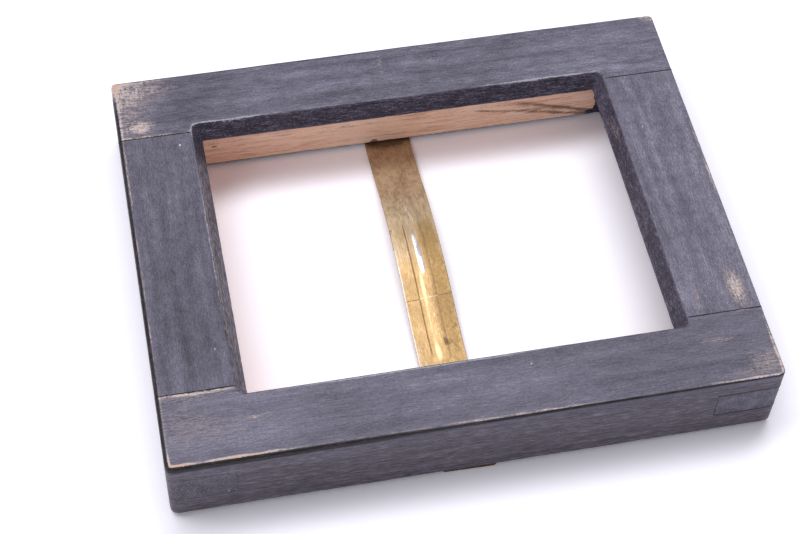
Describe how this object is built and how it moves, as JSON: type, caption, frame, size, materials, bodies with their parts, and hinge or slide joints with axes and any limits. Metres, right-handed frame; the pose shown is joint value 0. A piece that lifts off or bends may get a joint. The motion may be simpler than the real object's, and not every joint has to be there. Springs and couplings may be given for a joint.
{
  "type": "contact printing frame",
  "caption": "Bevelled wooden contact printing frame for glass plates, with a hinged sprung brass bar across its open back and a brass turn button that holds the bar.",
  "frame": {"origin": "middle of the frame's outline, on the table that it lies on back down, under the hinge barrel and the turn button", "axes": "+X along the rails, +Y from the turn button's rail to the hinge's rail, +Z from the back to the bevelled front"},
  "size_m": [0.156, 0.125, 0.0231],
  "materials": {
    "stained_beech": "matt black stain on beech, worn at the edges, bare inside the rebate",
    "spring_brass": "rolled sheet, tarnished towards the hinge",
    "hardware_brass": "aged brass"
  },
  "bodies": {
    "frame": {"rail_far": "stained_beech", "rail_near": "stained_beech", "stile_left": "stained_beech", "stile_right": "stained_beech", "hinge_leaf": "hardware_brass", "hinge_pin": "hardware_brass", "hinge_screws": "hardware_brass", "button_screw": "hardware_brass"},
    "bar": {"spring_bar": "spring_brass"},
    "button": {"turn_button": "hardware_brass"}
  },
  "joints": [
    {"name": "bar_hinge", "type": "hinge", "parent": "frame", "child": "bar", "pos_m": [-0.0022, 0.052, 0.0016], "axis": [1, 0, 0], "range_deg": [0, 100]},
    {"name": "button_turn", "type": "hinge", "parent": "frame", "child": "button", "pos_m": [0.0015, -0.0577, 0.0005], "axis": [0, 0, -1], "continuous": true}
  ]
}
